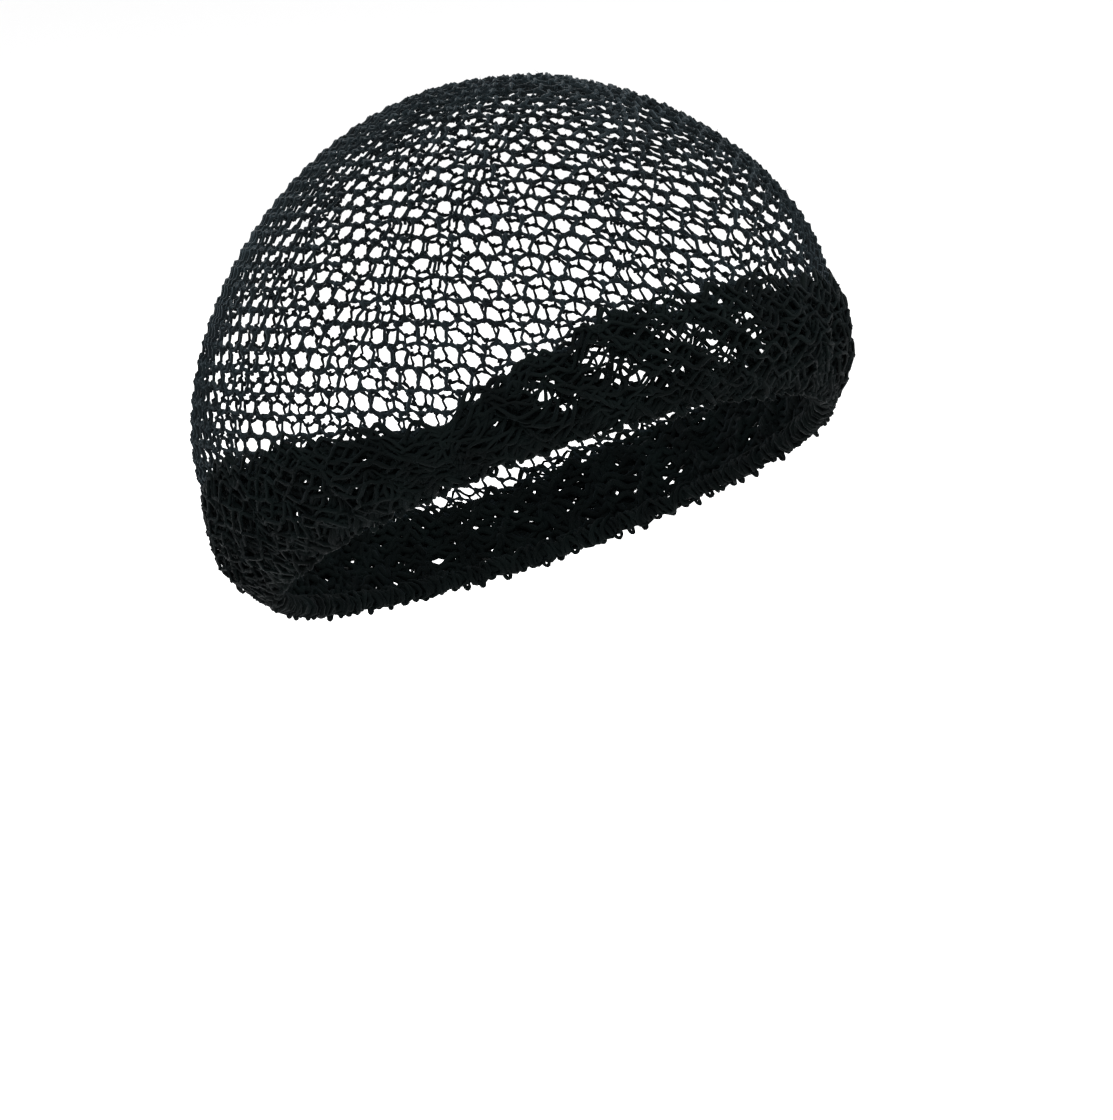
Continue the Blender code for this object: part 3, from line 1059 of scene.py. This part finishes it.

# %% [markdown]
# ## What rides on what
# The cap has one body, and nothing on it moves. The net, the border and the edge each stand for the
# plain solid of that part of the cap, which is hidden.

# %% Tie the pieces to the imported model
crown_pieces.append(crown_fibres)
border_pieces.append(border_fibres)
edge_pieces.append(edge_fibres)
for piece in crown_pieces:
    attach(piece, "root")
    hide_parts("crown_net")
for piece in border_pieces:
    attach(piece, "root")
    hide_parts("gathered_border")
for piece in edge_pieces:
    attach(piece, "root")
    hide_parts("elastic_edge")
pieces = crown_pieces + border_pieces + edge_pieces
print(len(pieces), "pieces ride on the cap's one body")

# %% [markdown]
# ## Floor
# The cap is held up over a wide plain floor, far enough below it that no shadow falls close by.

# %% Floor
FLOOR_DROP = 0.30

bpy.ops.object.select_all(action="DESELECT")
bpy.ops.mesh.primitive_plane_add(size=60, location=(0, 0, cad_low[2] - FLOOR_DROP))
floor = bpy.context.object
floor.name = "floor"
floor_paint = bpy.data.materials.new("floor_paint")
floor_paint.use_nodes = True
floor_shader = floor_paint.node_tree.nodes["Principled BSDF"]
floor_shader.inputs["Base Color"].default_value = (0.94, 0.94, 0.94, 1.0)
floor_shader.inputs["Roughness"].default_value = 0.9
floor.data.materials.append(floor_paint)
floor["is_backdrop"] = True
print("The floor lies", FLOOR_DROP, "m below the cap")

# %% [markdown]
# ## Light
# Black yarn shows its form only by what it reflects. A white sky gives the photograph's pale ground,
# and a wide soft light from above the cap's front right, a weaker one from its left and one from
# behind put a faint light on the strands.

# %% Light
SKY_STRENGTH = 1.02
LIT_POINT = Vector((0, 0, 0.05))

world = bpy.data.worlds.new("studio")
world.use_nodes = True
world.node_tree.nodes["Background"].inputs["Color"].default_value = (1.0, 1.0, 1.0, 1.0)
world.node_tree.nodes["Background"].inputs["Strength"].default_value = SKY_STRENGTH
bpy.context.scene.world = world
bpy.context.scene.view_settings.view_transform = "Standard"

LIGHTS = (
    {"name": "key", "place": (-0.7, -1.1, 1.6), "size": 0.9, "power": 75.0},
    {"name": "fill", "place": (1.3, -0.9, 0.8), "size": 1.2, "power": 14.0},
    {"name": "back", "place": (0.4, 1.4, 1.2), "size": 1.0, "power": 24.0},
)
for light in LIGHTS:
    bpy.ops.object.light_add(type="AREA", location=light["place"])
    lamp = bpy.context.object
    lamp.name = light["name"]
    lamp.data.size = light["size"]
    lamp.data.energy = light["power"]
    to_cap = LIT_POINT - Vector(light["place"])
    lamp.rotation_euler = to_cap.to_track_quat("-Z", "Y").to_euler()
print("The cap is lit by", len(LIGHTS), "soft lights and the sky")

# %% [markdown]
# ## Camera
# The camera has the photograph's angle: it looks slightly down at the cap's front from its right,
# turned a little about its own axis. Angle, roll, aim and lens come from a fit of the form's
# outline and of the mouth's edge to the photograph.

# %% Camera at the photograph's angle
AIM = Vector((-0.0089, -0.0184, -0.0092))
DISTANCE = 0.9
AZIMUTH = math.radians(-29.9)
ELEVATION = math.radians(16.4)
ROLL = math.radians(4.2)
LENS = 93.6

back = Vector((
    math.sin(AZIMUTH) * math.cos(ELEVATION),
    -math.cos(AZIMUTH) * math.cos(ELEVATION),
    math.sin(ELEVATION),
))
bpy.ops.object.camera_add(location=AIM + DISTANCE * back)
camera = bpy.context.object
camera.data.sensor_fit = "VERTICAL"
camera.data.sensor_height = 36.0
camera.data.lens = LENS
level = Euler((math.pi / 2 - ELEVATION, 0.0, AZIMUTH)).to_matrix()
camera.rotation_euler = (level @ Euler((0.0, 0.0, -ROLL)).to_matrix()).to_euler()
bpy.context.scene.camera = camera
print("The camera stands at", [round(value, 3) for value in camera.location])
